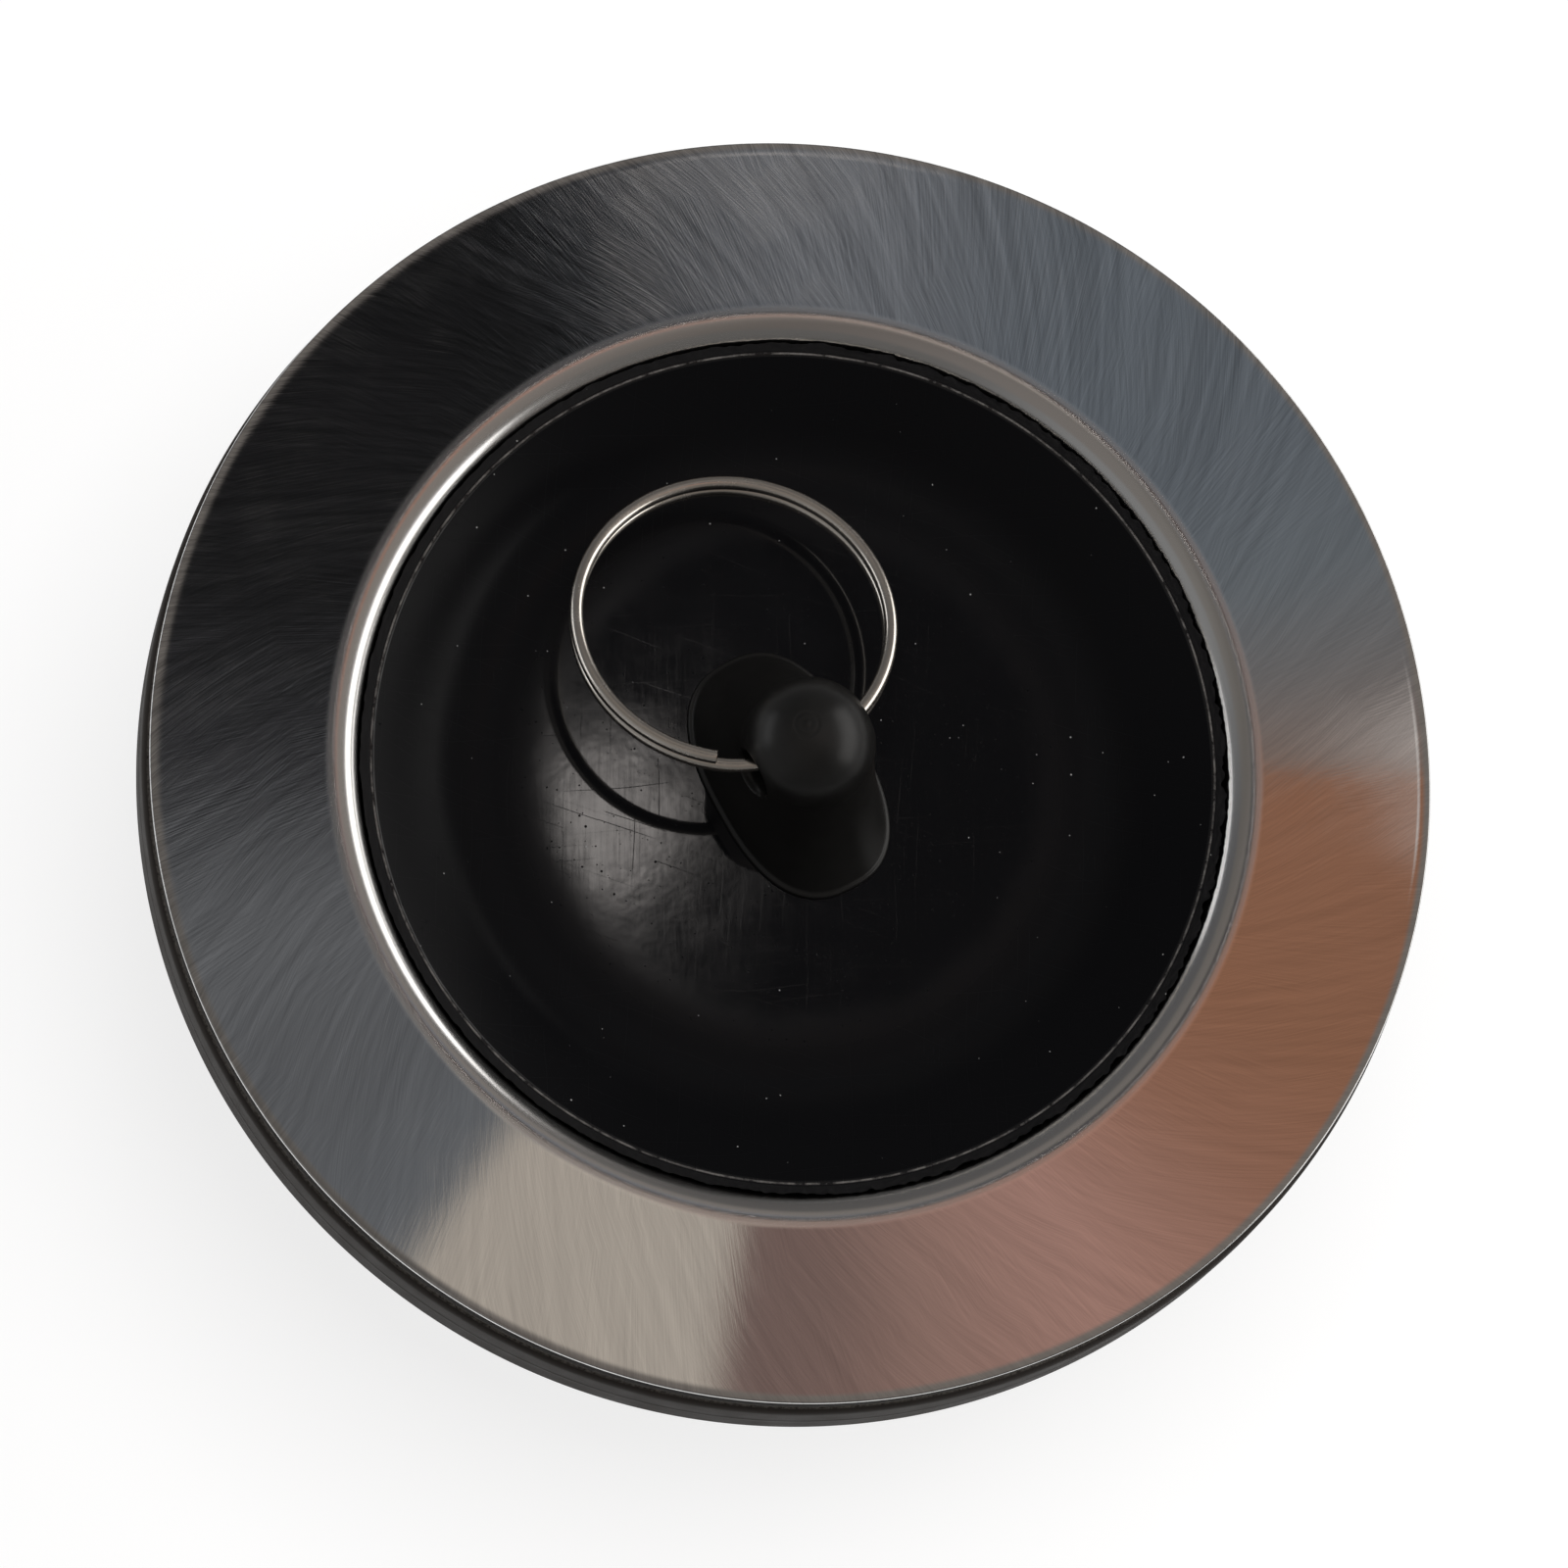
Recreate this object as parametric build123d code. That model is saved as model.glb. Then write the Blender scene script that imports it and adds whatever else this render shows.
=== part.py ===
from build123d import *
import math
import os

# Row frame: origin on the axis at the underside of the seat ring, +Z up, +X along the lug's cross bore.

# Steel flange: a 4 1/2 in drain flange pressed from sheet, with a rolled lip and a drawn neck
flange_diameter = 114.3
sheet = 0.8
annulus_width = 16.0
annulus_rise = 0.9
lip_roll = 3.0
neck_bend = 0.8
neck_depth = 8.0
ledge_width = 3.95
spigot_length = 16.0
bead_radius = 0.9

# Rubber under the flange: a thin gasket on a thick seat ring that stands a little proud all round
gasket_edge = 2.24
gasket_inset = 0.1
seat_height = 7.7
seat_overhang = 0.5
seat_edge_round = 0.8
recess_depth = 2.4
recess_width = 1.6
neck_clearance = 0.1

# Rubber plug: a flat-bottomed dish whose thin trimmed rim lies over the rolled lip, on a tapered skirt that
# stands on the ledge at the foot of the neck
ridge_below_rim = 0.14
dish_depth = 4.5
dish_rise_width = 10.65
dish_bend = 10.0
ridge_inset = 0.5
rim_reach = 0.3
rim_lift = 0.15
rim_thickness = 0.2
ridge_round = 0.3
disc_thickness = 4.0
skirt_clearance = 0.4
skirt_taper = 0.9
skirt_wall = 2.85
skirt_chamfer = 0.6
hollow_round = 3.0

# Lug: an oval foot, a post that narrows upwards and a round dome, on a barbed stem
foot_length = 23.2
foot_width = 14.5
foot_fullness = 2.5
foot_thickness = 0.6
foot_round = 0.25
foot_ledge = 0.4
dome_radius = 5.95
lug_height = 17.83
waist_height_share = 0.55
waist_length_share = 0.32
waist_width_share = 0.24
waist_fullness = 2.25
oval_points = 32
stem_radius = 4.0
stem_clearance = 0.05
barb_radius = 7.0
barb_tip_radius = 4.6
barb_length = 3.0

# Cross bore of the lug, which the split ring runs through
bore_clearance = 0.35
bore_below_dome_centre = 0.2
mouth_flare = 0.4

# Split ring: two turns of spring wire, with the step between them inside the lug
ring_mean_radius = 13.95
wire_diameter = 1.2
turn_gap = 0.45
free_end_angle = -36.0
step_angle = 50.0
arcs_per_turn = 4
wire_points = 400

# Ring at rest: it leans back over the dish, rocked sideways as far as the bore lets it, and the bore holds it
ring_above_dish = 4.4
ring_rock = 6.8
ring_shift = 0.5
steepest_slope = 60.0
slope_halvings = 40
turn_points = 72

# Heights and radii that follow from the driving dimensions
flange_radius = flange_diameter / 2
lip_radius = flange_radius - annulus_width
neck_inner = lip_radius - lip_roll
neck_outer = neck_inner + sheet
rim_underside = seat_height + gasket_edge
rim_top = rim_underside + sheet
annulus_slope = annulus_rise / annulus_width
ledge_top = -neck_depth
spigot_inner = neck_inner - ledge_width
spigot_foot = ledge_top - sheet - spigot_length
ridge_height = rim_top - ridge_below_rim
ridge_radius = neck_inner - ridge_inset
rim_radius = neck_inner + rim_reach
rim_height = ridge_height + rim_lift
skirt_radius = neck_inner - skirt_clearance
dish_height = ridge_height - dish_depth
landing_radius = ridge_radius - dish_rise_width
bend_to_ridge = math.hypot(dish_rise_width, dish_bend - dish_depth)
dish_tilt = math.atan2(dish_rise_width, dish_bend - dish_depth) - math.acos(dish_bend / bend_to_ridge)
bend_end_radius = landing_radius + dish_bend * math.sin(dish_tilt)
bend_end_height = dish_height + dish_bend * (1 - math.cos(dish_tilt))
hollow_top = dish_height - disc_thickness
dome_centre_height = dish_height + foot_thickness + lug_height - dome_radius
bore_height = dome_centre_height - bore_below_dome_centre
turn_pitch = wire_diameter + turn_gap
bore_half_length = math.sqrt(dome_radius**2 - bore_below_dome_centre**2)
arc_rise_in_bore = ring_mean_radius - math.sqrt(ring_mean_radius**2 - bore_half_length**2)
ring_to_axis = ring_mean_radius - arc_rise_in_bore / 2


def annulus_top(radius):
    """Height of the flange's visible face at a radius."""
    return rim_top + (flange_radius - radius) * annulus_slope


def mitred(path, distance):
    """Points of a path moved to its left by a distance, with mitred corners."""
    normals = []
    for start, end in zip(path, path[1:]):
        along = (end - start).normalized()
        normals.append(Vector(-along.Y, along.X))
    moved = [path[0] + normals[0] * distance]
    for corner, before, after in zip(path[1:], normals, normals[1:]):
        blend = before + after
        moved.append(corner + blend * (2 * distance / blend.length**2))
    moved.append(path[-1] + normals[-1] * distance)
    return moved


def bent_sheet(path, inner_radii, thickness):
    """Section of a sheet whose visible side is the path, rounded at each bend."""
    hidden = mitred(path, thickness)
    section = make_face(Polyline(*path, *reversed(hidden), close=True))
    corners = zip(path, path[1:], path[2:], hidden[1:], inner_radii)
    for before, corner, after, hidden_corner, inner_radius in corners:
        turn = (corner - before).cross(after - corner).Z
        visible_radius = inner_radius + thickness if turn > 0 else inner_radius
        hidden_radius = inner_radius if turn > 0 else inner_radius + thickness
        section = round_corner(section, corner, visible_radius)
        section = round_corner(section, hidden_corner, hidden_radius)
    return section


def round_corner(section, corner, radius):
    """The section with the corner nearest to a point rounded."""
    return fillet(section.vertices().sort_by_distance(corner)[0], radius)


def turned(section):
    """Solid turned about Z from a section drawn as radius and height."""
    return revolve(Plane.XZ * section, Axis.Z)


def steel_flange():
    """Flange, rolled lip, neck, ledge and spigot in one pressing, with the bead that holds the rubber."""
    path = [
        Vector(flange_radius, annulus_top(flange_radius)),
        Vector(neck_inner, annulus_top(neck_inner)),
        Vector(neck_inner, ledge_top),
        Vector(spigot_inner, ledge_top),
        Vector(spigot_inner, spigot_foot),
    ]
    pressing = turned(bent_sheet(path, [lip_roll - sheet, neck_bend, neck_bend], sheet))
    bead = Pos(0, 0, bead_radius) * Torus(neck_outer, bead_radius)
    inside = Pos(0, 0, bead_radius) * Cylinder(neck_outer - sheet / 2, 4 * bead_radius)
    return pressing + (bead - inside)


def flange_gasket():
    """Thin gasket whose top follows the underside of the flange."""
    inner = neck_outer + neck_clearance
    outer = flange_radius - gasket_inset
    drop = sheet * math.sqrt(1 + annulus_slope**2)
    relief = lip_radius - inner
    section = make_face(Polyline(
        (inner, seat_height),
        (outer, seat_height),
        (outer, annulus_top(outer) - drop),
        (lip_radius, annulus_top(lip_radius) - drop),
        (inner, annulus_top(lip_radius) - drop - relief),
        close=True,
    ))
    return turned(section)


def seat_ring():
    """Thick rubber ring that sits on the sink, with a recess for the bead on the neck."""
    inner = neck_outer + neck_clearance
    outer = flange_radius + seat_overhang
    section = make_face(Polyline(
        (inner + recess_width, 0),
        (outer, 0),
        (outer, seat_height),
        (inner, seat_height),
        (inner, recess_depth),
        (inner + recess_width, recess_depth),
        close=True,
    ))
    for height in (0, seat_height):
        section = round_corner(section, Vector(outer, height), seat_edge_round)
    return turned(section)


def rubber_plug():
    """Dished disc with a trimmed rim, a tapered skirt and a hollow underside."""
    foot_radius = skirt_radius - skirt_taper
    hollow_radius = foot_radius - skirt_wall
    centre = (0, dish_height)
    landing = (landing_radius, dish_height)
    bend_end = (bend_end_radius, bend_end_height)
    ridge = (ridge_radius, ridge_height)
    rim_under = rim_height - rim_thickness
    outline = Line(centre, landing)
    outline += TangentArc(landing, bend_end, tangent=(1, 0))
    outline += Polyline(
        bend_end,
        ridge,
        (rim_radius, rim_height),
        (rim_radius, rim_under),
        (skirt_radius, rim_under - rim_radius + skirt_radius),
        (foot_radius, ledge_top + skirt_chamfer),
        (foot_radius - skirt_chamfer, ledge_top),
        (hollow_radius, ledge_top),
        (hollow_radius, hollow_top),
        (0, hollow_top),
        centre,
    )
    section = make_face(outline)
    section = round_corner(section, Vector(hollow_radius, hollow_top), hollow_round)
    section = round_corner(section, Vector(*ridge), ridge_round)
    stem_hole = Cylinder(stem_radius + stem_clearance, 4 * dish_height)
    return turned(section) - stem_hole


def oval(half_width, half_length, fullness):
    """Face with an oval edge: an ellipse at a fullness of 2, with squarer ends above it."""
    edge = []
    for index in range(oval_points):
        turn = 2 * math.pi * index / oval_points
        across = math.cos(turn)
        along = math.sin(turn)
        reach = (abs(across) ** fullness + abs(along) ** fullness) ** (-1 / fullness)
        edge.append((half_width * across * reach, half_length * along * reach))
    return make_face(Spline(edge, periodic=True))


def lug_post():
    """Post from the oval foot up to the dome, narrowing smoothly."""
    foot_top = dish_height + foot_thickness
    post_height = dome_centre_height - foot_top
    long_half = foot_length / 2 - foot_ledge
    short_half = foot_width / 2 - foot_ledge
    waist_long = dome_radius + (long_half - dome_radius) * waist_length_share
    waist_short = dome_radius + (short_half - dome_radius) * waist_width_share
    sections = [
        Pos(0, 0, foot_top) * oval(short_half, long_half, foot_fullness),
        Pos(0, 0, foot_top + post_height * waist_height_share) * oval(waist_short, waist_long, waist_fullness),
        Pos(0, 0, dome_centre_height) * Ellipse(dome_radius, dome_radius),
    ]
    return loft(sections)


def pull_lug():
    """Lug with its oval foot, its barbed stem and the cross bore for the split ring."""
    bore_radius = reach_in_bore() + bore_clearance
    mouth_place = math.sqrt(dome_radius**2 - (bore_radius + mouth_flare) ** 2)
    foot = extrude(oval(foot_width / 2, foot_length / 2, foot_fullness), foot_thickness)
    foot = fillet(foot.edges().sort_by(Axis.Z)[-1], foot_round)
    stem = Pos(0, 0, dish_height - disc_thickness / 2) * Cylinder(stem_radius, disc_thickness)
    barb = Pos(0, 0, hollow_top - barb_length / 2) * Cone(barb_tip_radius, barb_radius, barb_length)
    on_base = (Align.CENTER, Align.CENTER, Align.MIN)
    dome = Pos(0, 0, dome_centre_height) * Sphere(dome_radius, arc_size1=0, align=on_base)
    lug = Pos(0, 0, dish_height) * foot + lug_post() + dome + stem + barb
    bore = Pos(0, 0, bore_height) * Rot(0, 90, 0) * Cylinder(bore_radius, 4 * dome_radius)
    lug -= bore
    for side in (-1, 1):
        mouth = Cone(bore_radius, bore_radius + 2 * mouth_flare, 2 * mouth_flare)
        lug -= Pos(side * mouth_place, 0, bore_height) * Rot(0, side * 90, 0) * mouth
    print("pull lug: bore radius %.3f mm, hinge at height %.3f mm" % (bore_radius, bore_height))
    return lug


def ring_station(angle, height):
    """Point of the wire's centre line at an angle from the bore, and the way it runs there."""
    turn = math.radians(angle)
    point = Vector(ring_mean_radius * math.cos(turn), ring_mean_radius * math.sin(turn), height)
    return point, Vector(math.sin(turn), -math.cos(turn), 0)


def biarc(start, end):
    """Two arcs, tangent to each other and to the way the wire runs at both ends."""
    (start_point, start_way), (end_point, end_way) = start, end
    chord = end_point - start_point
    ways = start_way + end_way
    spread = 2 * (1 - start_way.dot(end_way))
    root = math.sqrt(chord.dot(ways) ** 2 + spread * chord.dot(chord))
    reach = (root - chord.dot(ways)) / spread
    joint = (start_point + end_point + (start_way - end_way) * reach) / 2
    to_joint = (joint - start_point).normalized()
    joint_way = to_joint * (2 * start_way.dot(to_joint)) - start_way
    return [
        TangentArc(start_point, joint, tangent=start_way),
        TangentArc(joint, end_point, tangent=joint_way),
    ]


def ring_wire():
    """Centre line: a turn above, the step down, a turn below, all in the ring's own plane frame."""
    upper = turn_pitch / 2
    turn_angle = 360 - step_angle
    angles = [free_end_angle - turn_angle * index / arcs_per_turn for index in range(arcs_per_turn + 1)]
    stations = [ring_station(angle, upper) for angle in angles]
    stations += [ring_station(angle - 360, -upper) for angle in angles]
    edges = []
    for start, end in zip(stations, stations[1:]):
        edges += biarc(start, end)
    return Wire(edges)


def ring_plane(slope):
    """Plane of the ring, x towards the bore, when it slopes down from the bore by an angle."""
    turn = math.radians(slope)
    rock = math.radians(ring_rock)
    to_bore = Vector(0, -math.cos(turn), math.sin(turn))
    upwards = Vector(math.sin(rock), math.sin(turn) * math.cos(rock), math.cos(turn) * math.cos(rock))
    centre = Vector(0, 0, bore_height) - to_bore * ring_to_axis + upwards * ring_shift
    return Plane(origin=centre, x_dir=to_bore, z_dir=upwards)


def dish_top(radius):
    """Height of the dished face at a radius."""
    if radius > bend_end_radius:
        return bend_end_height + (radius - bend_end_radius) * math.tan(dish_tilt)
    across = max(radius - landing_radius, 0)
    return dish_height + dish_bend - math.sqrt(dish_bend**2 - across**2)


def gap_to_dish(slope):
    """Least height of the lower turn above the dish."""
    gaps = []
    for index in range(turn_points):
        turn = 2 * math.pi * index / turn_points
        along = (ring_mean_radius * math.cos(turn), ring_mean_radius * math.sin(turn), -turn_pitch / 2)
        point = ring_plane(slope).from_local_coords(along)
        gaps.append(point.Z - wire_diameter / 2 - dish_top(math.hypot(point.X, point.Y)))
    return min(gaps)


def resting_slope():
    """Slope at which the ring lies as high above the dish as it should."""
    low, high = 0, steepest_slope
    for _ in range(slope_halvings):
        middle = (low + high) / 2
        if gap_to_dish(middle) > ring_above_dish:
            low = middle
        else:
            high = middle
    return low


def reach_in_bore():
    """Radius round the bore's axis that the rocked wire needs inside the lug."""
    path = ring_wire()
    reaches = []
    for index in range(wire_points + 1):
        along = path @ (index / wire_points)
        point = ring_plane(0).from_local_coords(along)
        if along.X > 0 and abs(point.X) < bore_half_length:
            reaches.append(math.hypot(point.Y, point.Z - bore_height))
    return max(reaches) + wire_diameter / 2


def least_gap(path):
    """Least space between turns of the wire, measured on points along it."""
    points = [path @ (index / wire_points) for index in range(wire_points + 1)]
    apart = wire_points // 4
    gaps = []
    for index, point in enumerate(points[:-apart]):
        gaps += [(point - other).length for other in points[index + apart:]]
    return min(gaps) - wire_diameter


def split_ring():
    """Ring of two turns that hangs in the lug's bore and leans back over the dish."""
    slope = resting_slope()
    path = ring_wire()
    section = Plane(origin=path @ 0, z_dir=path % 0) * Circle(wire_diameter / 2)
    ring = sweep(section, path)
    print("split ring: least gap between turns %.3f mm" % least_gap(path))
    print("split ring: volume %.2f, section times length %.2f" % (
        ring.volume, section.area * path.length))
    print("split ring: slope %.3f degrees" % slope)
    return ring_plane(slope).location * ring


pieces = {
    "steel_flange": steel_flange,
    "flange_gasket": flange_gasket,
    "seat_ring": seat_ring,
    "rubber_plug": rubber_plug,
    "pull_lug": pull_lug,
    "split_ring": split_ring,
}

os.makedirs("parts", exist_ok=True)
for node, make in pieces.items():
    shape = make()
    print("%s: volume %.1f mm3, valid %s" % (node, shape.volume, shape.is_valid))
    export_step(shape, "parts/" + node + ".step")
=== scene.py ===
import math

import bmesh
import bpy
from mathutils import Matrix, Vector, noise


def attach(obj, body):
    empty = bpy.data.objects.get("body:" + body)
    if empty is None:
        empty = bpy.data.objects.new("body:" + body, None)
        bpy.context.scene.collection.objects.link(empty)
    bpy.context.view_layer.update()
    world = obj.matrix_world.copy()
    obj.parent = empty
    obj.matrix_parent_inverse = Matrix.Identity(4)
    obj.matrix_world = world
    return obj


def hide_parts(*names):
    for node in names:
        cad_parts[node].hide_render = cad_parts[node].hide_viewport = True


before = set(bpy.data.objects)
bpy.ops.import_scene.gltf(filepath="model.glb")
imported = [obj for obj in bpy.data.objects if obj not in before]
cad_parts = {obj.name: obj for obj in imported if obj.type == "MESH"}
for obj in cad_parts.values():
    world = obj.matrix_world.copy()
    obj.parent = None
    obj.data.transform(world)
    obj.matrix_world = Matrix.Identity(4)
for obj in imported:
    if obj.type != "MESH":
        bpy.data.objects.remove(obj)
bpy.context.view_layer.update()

# Sizes in millimetres, as in the CAD model. MM turns them into the scene's metres.
MM = 0.001

# Flange
FLANGE_R = 57.15
FLANGE_TOP = 10.74
RISE_PER_MM = 0.9 / 16.0
SHEET = 0.8
NECK_R = 38.15
LIP_ROLL = 3.0
LEDGE_Z = -8.0
SPIGOT_R = 34.2
SPIGOT_FOOT = -24.8

# Seat ring and gasket
SEAT_TOP = 7.7
SEAT_R = 57.65
GASKET_R = 57.05
FLANGE_GAP = 0.01
NECK_GAP = 0.1
RUBBER_BORE_R = NECK_R + SHEET + NECK_GAP

# Plug
RIDGE_R = 37.65
RIDGE_Z = 10.6
RIM_R = 38.45
RIM_Z = 10.75
FLASH_LIMIT_R = 38.78
SKIRT_R = 37.75
DISH_Z = 6.1
LANDING_R = 27.0
DISH_BEND = 10.0
DISH_TILT = 29.2
HOLLOW_Z = 2.1
STEM_HOLE_R = 4.05

# Lug
BORE_Z = 18.38
BORE_R = 2.21
DOME_R = 5.95
DOME_Z = 18.58

# Split ring, with its angles in degrees
RING_R = 13.95
WIRE_R = 0.6
TURN_GAP = 0.03
RING_SLOPE = 14.04
RING_ROCK = 6.8
RING_SHIFT = 0.5
RING_TO_BORE = 13.285
FREE_END = -36.0
CROSSOVER = 50.0

# The photograph's turn against the model, and the camera that was fitted to it
PHOTO_TURN = 28.0
CAMERA_AZIMUTH = 238.16
CAMERA_TILT = 15.141
CAMERA_DISTANCE = 900.0
CAMERA_LEFT = 1.0245
CAMERA_DOWN = 1.742
SENSOR = 36.0
FOCAL = 233.83


def flange_top_at(r):
    return FLANGE_TOP + (FLANGE_R - r) * RISE_PER_MM


# Mesh helpers


def arc(cr, cz, radius, start, end, count):
    """Points of an arc in the section, angles in degrees from the outward direction."""
    step = (end - start) / count
    points = []
    for i in range(count + 1):
        angle = math.radians(start + step * i)
        points.append((cr + radius * math.cos(angle), cz + radius * math.sin(angle)))
    return points


def line(a, b, count):
    """Points between two ends of the section, without the first."""
    return [(a[0] + (b[0] - a[0]) * i / count, a[1] + (b[1] - a[1]) * i / count) for i in range(1, count + 1)]


def sweep_faces(rows, count):
    """Faces between closed rows of points that follow one another."""
    faces = []
    for s in range(rows - 1):
        for k in range(count):
            after = (k + 1) % count
            faces.append((s * count + k, s * count + after, (s + 1) * count + after, (s + 1) * count + k))
    return faces


def face_outward(mesh, merge=False, dissolve=False):
    """Turns all faces outward, once doubled points are merged and empty faces dissolved where asked."""
    bm = bmesh.new()
    bm.from_mesh(mesh)
    if merge:
        bmesh.ops.remove_doubles(bm, verts=bm.verts, dist=0.2e-6)
    if dissolve:
        bmesh.ops.dissolve_degenerate(bm, dist=0.1e-6, edges=bm.edges)
    bmesh.ops.recalc_face_normals(bm, faces=bm.faces)
    bm.to_mesh(mesh)
    bm.free()


def link_mesh(name, verts, faces):
    """Puts a plain mesh in the scene."""
    mesh = bpy.data.meshes.new(name)
    mesh.from_pydata(verts, [], faces)
    obj = bpy.data.objects.new(name, mesh)
    bpy.context.scene.collection.objects.link(obj)
    return obj


def add_piece(name, verts, faces, body, nodes, sharp=35):
    """Puts a smooth piece in the scene on its body, in place of its nodes."""
    obj = link_mesh(name, verts, faces)
    obj.data.validate()
    obj.data.update()
    for poly in obj.data.polygons:
        poly.use_smooth = True
    obj.data.set_sharp_from_angle(angle=math.radians(sharp))
    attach(obj, body)
    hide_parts(*nodes)
    return obj


def lathe(name, section, segments, body, nodes, shift, sharp=35):
    """Closed section turned about Z. shift(r, z, angle) moves a point of the section at an angle."""
    verts = []
    count = len(section)
    for s in range(segments):
        angle = 2 * math.pi * s / segments
        for point in section:
            r, z = shift(*point, angle)
            verts.append((r * math.cos(angle) * MM, r * math.sin(angle) * MM, z * MM))
    faces = []
    for s in range(segments):
        t = (s + 1) % segments
        for i in range(count):
            j = (i + 1) % count
            faces.append((s * count + i, t * count + i, t * count + j, s * count + j))
    obj = add_piece(name, verts, faces, body, nodes, sharp)
    face_outward(obj.data, merge=True, dissolve=True)


def ripple(angle, z, per_turn, seed):
    """Smooth random value that closes round the turn, from about -1 to 1."""
    radius = per_turn / (2 * math.pi)
    return noise.noise(Vector((radius * math.cos(angle) + seed, radius * math.sin(angle) - seed, z)))


# Steel flange: annulus, rolled lip, neck, ledge and spigot


def flange_section():
    lean = math.degrees(math.atan(RISE_PER_MM))
    edge = 0.16
    neck_bend = 0.8
    spigot_bend = 1.6
    bead = 0.9
    foot_edge = 0.12
    top = arc(FLANGE_R - edge, flange_top_at(FLANGE_R) - edge, edge, 0, 88, 6)
    roll_r = NECK_R + LIP_ROLL
    roll_z = flange_top_at(roll_r) - LIP_ROLL / math.cos(math.radians(lean))
    roll = arc(roll_r, roll_z, LIP_ROLL, 90 - lean, 180, 36)
    top += line(top[-1], roll[0], 14)
    top += roll[1:]
    wall_end = LEDGE_Z + neck_bend
    top += line(top[-1], (NECK_R, wall_end), 8)
    top += arc(NECK_R - neck_bend, wall_end, neck_bend, 0, -90, 8)[1:]
    mouth_r = SPIGOT_R + spigot_bend
    top += line(top[-1], (mouth_r, LEDGE_Z), 3)
    top += arc(mouth_r, LEDGE_Z - spigot_bend, spigot_bend, 90, 180, 8)[1:]
    top += line(top[-1], (SPIGOT_R, SPIGOT_FOOT + 0.15), 8)
    outside = SPIGOT_R + SHEET
    foot = [(SPIGOT_R + foot_edge, SPIGOT_FOOT), (outside - foot_edge, SPIGOT_FOOT)]
    foot += [(outside, SPIGOT_FOOT + foot_edge)]
    back = line(foot[-1], (outside, LEDGE_Z - spigot_bend), 8)
    back += arc(mouth_r, LEDGE_Z - spigot_bend, spigot_bend - SHEET, 180, 90, 6)[1:]
    back += line(back[-1], (NECK_R - neck_bend, LEDGE_Z - SHEET), 3)
    back += arc(NECK_R - neck_bend, wall_end, neck_bend + SHEET, -90, 0, 8)[1:]
    back += line(back[-1], (NECK_R + SHEET, 0.0), 6)
    back += arc(NECK_R + SHEET, bead, bead, -90, 90, 12)[1:]
    back += line(back[-1], (NECK_R + SHEET, roll_z), 6)
    back += arc(roll_r, roll_z, LIP_ROLL - SHEET, 180, 90 - lean, 14)[1:]
    under = flange_top_at(FLANGE_R) - SHEET
    back += line(back[-1], (FLANGE_R - edge, under), 12)
    back += arc(FLANGE_R - edge, under + edge, edge, -90, 0, 5)[1:-1]
    return top + foot + back


def flange_shift(r, z, angle):
    """Slight waves in the pressed face."""
    face_foot = 8
    height, fade = 0.02, 6
    if z > face_foot and r > NECK_R + 0.5:
        reach = min((r - NECK_R) / fade, 1)
        z += height * reach * ripple(angle, r * 0.03, 9, 4.1)
    return r, z


lathe("flange_pressing", flange_section(), 720, "seat", ["steel_flange"], flange_shift, 40)


# Gasket and seat ring


def gasket_section():
    edge = 0.12
    under = FLANGE_TOP - SHEET
    relief = NECK_R + LIP_ROLL
    slope_top = flange_top_at(relief) - SHEET - FLANGE_GAP
    cut_r = GASKET_R - 0.14
    points = [(RUBBER_BORE_R, SEAT_TOP)]
    points += line(points[-1], (GASKET_R - edge, SEAT_TOP), 8)
    points += line(points[-1], (GASKET_R, SEAT_TOP + edge), 2)
    points += line(points[-1], (GASKET_R - 0.03, under - edge), 8)
    points += line(points[-1], (cut_r, flange_top_at(cut_r) - SHEET - FLANGE_GAP), 2)
    points += line(points[-1], (relief, slope_top), 6)
    points += line(points[-1], (RUBBER_BORE_R, slope_top - relief + RUBBER_BORE_R), 2)
    return points


def gasket_shift(r, z, angle):
    """Uneven cut of the sheet's edge."""
    uneven = 0.05
    if r > GASKET_R - 0.6:
        r += uneven * ripple(angle, z * 0.5, 90, 2.0) + uneven * ripple(angle, z * 2.0, 420, 9.0) - 0.04
    return r, z


lathe("gasket_sheet", gasket_section(), 900, "seat", ["flange_gasket"], gasket_shift)


def seat_section():
    inner, outer = RUBBER_BORE_R, SEAT_R - 0.04
    soft = 0.8
    bead_room = 1.6
    bead_top = 2.4
    parting = 0.03
    points = [(inner + bead_room, 0.0)]
    points += line(points[-1], (outer - soft, 0.0), 10)
    points += arc(outer - soft, soft, soft, -90, 0, 8)[1:]
    middle = SEAT_TOP / 2
    points += line(points[-1], (outer, middle - 4 * parting), 6)
    points += [(outer + parting, middle - parting), (outer + parting, middle + parting)]
    points += [(outer, middle + 4 * parting)]
    points += line(points[-1], (outer, SEAT_TOP - soft), 6)
    points += arc(outer - soft, SEAT_TOP - soft, soft, 0, 90, 8)[1:]
    points += line(points[-1], (inner, SEAT_TOP), 10)
    points += line(points[-1], (inner, bead_top), 6)
    points += line(points[-1], (inner + bead_room, bead_top), 2)
    points += line(points[-1], (inner + bead_room, 0.0), 3)[:-1]
    return points


def seat_shift(r, z, angle):
    """Slight waves in the moulded side."""
    wave = 0.03
    if r > SEAT_R - 1.0:
        r += wave * ripple(angle, z * 0.2, 14, 7.0) - wave
    return r, z


lathe("seat_rubber_ring", seat_section(), 720, "seat", ["seat_ring"], seat_shift)


# Plug: flat dish, raised rim with the trimmed moulding flash, skirt and hollow

# Ridge at the rim's inner edge: distance out from its line, and depth below its nominal top
RIDGE_FORM = ((-0.2, 0.125), (-0.1, 0.085), (0.0, 0.07), (0.1, 0.075), (0.2, 0.06))


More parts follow.
